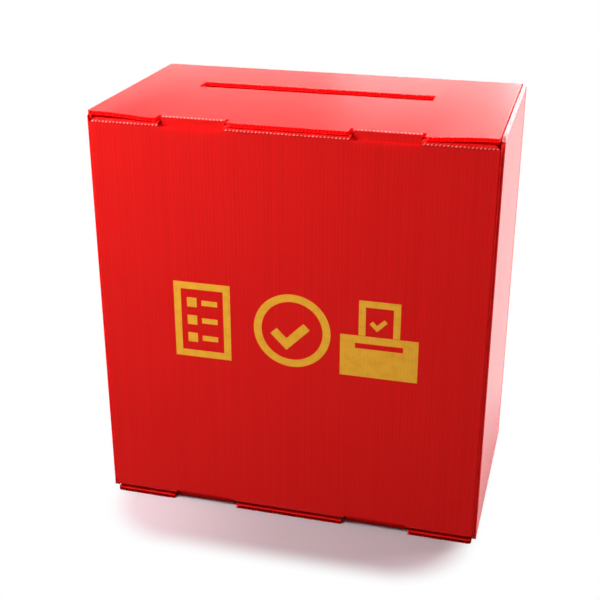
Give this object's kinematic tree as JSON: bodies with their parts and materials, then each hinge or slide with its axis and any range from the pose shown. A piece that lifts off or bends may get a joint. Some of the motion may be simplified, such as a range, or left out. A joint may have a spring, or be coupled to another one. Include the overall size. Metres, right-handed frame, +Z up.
{
  "type": "ballot box",
  "caption": "Upright folding box of red fluted plastic sheet, with a ballot slot in its tuck-in lid and a tuck-in bottom.",
  "frame": {"origin": "centre of the base, on the surface the box stands on", "axes": "+Z up, -Y towards the front wall where the tabs tuck in, +X to the right seen from the front"},
  "size_m": [0.35, 0.2, 0.375],
  "materials": {
    "red_sheet": "satin-gloss extruded fluted polypropylene",
    "red_fold": "crushed along the flutes",
    "whitened_fold": "crushed across the ribs, stress-whitened at each rib",
    "fused_spot": "smooth remelted spot",
    "gold_print": "screen-printed golden ink"
  },
  "bodies": {
    "sleeve": {"front_panel": "red_sheet", "back_panel": "red_sheet", "left_panel": "red_sheet", "right_panel": "red_sheet", "front_left_crease": "red_fold", "front_right_crease": "red_fold", "back_left_crease": "red_fold", "seam_crease": "red_fold", "seam_flap": "red_sheet", "seam_welds": "fused_spot", "lid_crease": "whitened_fold", "top_ledge_crease": "whitened_fold", "top_dust_crease_left": "whitened_fold", "top_dust_crease_right": "whitened_fold", "bottom_crease": "whitened_fold", "bottom_ledge_crease": "whitened_fold", "bottom_dust_crease_left": "whitened_fold", "bottom_dust_crease_right": "whitened_fold"},
    "lid": {"lid": "red_sheet", "lid_tab_crease_left": "whitened_fold", "lid_tab_crease_right": "whitened_fold"},
    "lid_tab_left": {"lid_tab_left": "red_sheet"},
    "lid_tab_right": {"lid_tab_right": "red_sheet"},
    "top_ledge": {"top_ledge_flap": "red_sheet"},
    "top_dust_left": {"top_dust_flap_left": "red_sheet"},
    "top_dust_right": {"top_dust_flap_right": "red_sheet"},
    "bottom": {"bottom_panel": "red_sheet", "bottom_tab_crease_left": "whitened_fold", "bottom_tab_crease_right": "whitened_fold"},
    "bottom_tab_left": {"bottom_tab_left": "red_sheet"},
    "bottom_tab_right": {"bottom_tab_right": "red_sheet"},
    "bottom_ledge": {"bottom_ledge_flap": "red_sheet"},
    "bottom_dust_left": {"bottom_dust_flap_left": "red_sheet"},
    "bottom_dust_right": {"bottom_dust_flap_right": "red_sheet"}
  },
  "joints": [
    {"name": "lid_swing", "type": "hinge", "parent": "sleeve", "child": "lid", "pos_m": [0, 0.0995, 0.3745], "axis": [-1, 0, 0], "range_deg": [0, 240], "deforming": ["lid_crease"]},
    {"name": "lid_tab_left_fold", "type": "hinge", "parent": "lid", "child": "lid_tab_left", "pos_m": [-0.082, -0.0916, 0.372], "axis": [-1, 0, 0], "range_deg": [0, 36], "deforming": ["lid_tab_crease_left"]},
    {"name": "lid_tab_right_fold", "type": "hinge", "parent": "lid", "child": "lid_tab_right", "pos_m": [0.082, -0.0916, 0.372], "axis": [-1, 0, 0], "range_deg": [0, 36], "deforming": ["lid_tab_crease_right"]},
    {"name": "top_ledge_fold", "type": "hinge", "parent": "sleeve", "child": "top_ledge", "pos_m": [0, -0.0995, 0.3685], "axis": [1, 0, 0], "range_deg": [0, 96], "deforming": ["top_ledge_crease"]},
    {"name": "top_dust_left_fold", "type": "hinge", "parent": "sleeve", "child": "top_dust_left", "pos_m": [-0.172, 0, 0.3627], "axis": [0, 1, 0], "range_deg": [0, 80], "stiffness_Nm_per_rad": 0.02, "springref_deg": -68.75, "deforming": ["top_dust_crease_left"]},
    {"name": "top_dust_right_fold", "type": "hinge", "parent": "sleeve", "child": "top_dust_right", "pos_m": [0.172, 0, 0.3627], "axis": [0, -1, 0], "range_deg": [0, 80], "stiffness_Nm_per_rad": 0.02, "springref_deg": -68.75, "deforming": ["top_dust_crease_right"]},
    {"name": "bottom_swing", "type": "hinge", "parent": "sleeve", "child": "bottom", "pos_m": [0, 0.0995, 0.0005], "axis": [1, 0, 0], "range_deg": [0, 240], "deforming": ["bottom_crease"]},
    {"name": "bottom_tab_left_fold", "type": "hinge", "parent": "bottom", "child": "bottom_tab_left", "pos_m": [-0.082, -0.0916, 0.003], "axis": [1, 0, 0], "range_deg": [0, 36], "deforming": ["bottom_tab_crease_left"]},
    {"name": "bottom_tab_right_fold", "type": "hinge", "parent": "bottom", "child": "bottom_tab_right", "pos_m": [0.082, -0.0916, 0.003], "axis": [1, 0, 0], "range_deg": [0, 36], "deforming": ["bottom_tab_crease_right"]},
    {"name": "bottom_ledge_fold", "type": "hinge", "parent": "sleeve", "child": "bottom_ledge", "pos_m": [0, -0.0995, 0.0065], "axis": [-1, 0, 0], "range_deg": [0, 96], "deforming": ["bottom_ledge_crease"]},
    {"name": "bottom_dust_left_fold", "type": "hinge", "parent": "sleeve", "child": "bottom_dust_left", "pos_m": [-0.172, 0, 0.0123], "axis": [0, -1, 0], "range_deg": [0, 80], "deforming": ["bottom_dust_crease_left"]},
    {"name": "bottom_dust_right_fold", "type": "hinge", "parent": "sleeve", "child": "bottom_dust_right", "pos_m": [0.172, 0, 0.0123], "axis": [0, 1, 0], "range_deg": [0, 80], "deforming": ["bottom_dust_crease_right"]}
  ],
  "couplings": [
    {"joint": "lid_tab_left_fold", "follows": "lid_swing", "ratio": 0.15},
    {"joint": "lid_tab_right_fold", "follows": "lid_swing", "ratio": 0.15},
    {"joint": "top_ledge_fold", "follows": "lid_swing", "ratio": 0.4},
    {"joint": "bottom_tab_left_fold", "follows": "bottom_swing", "ratio": 0.15},
    {"joint": "bottom_tab_right_fold", "follows": "bottom_swing", "ratio": 0.15},
    {"joint": "bottom_ledge_fold", "follows": "bottom_swing", "ratio": 0.4}
  ]
}
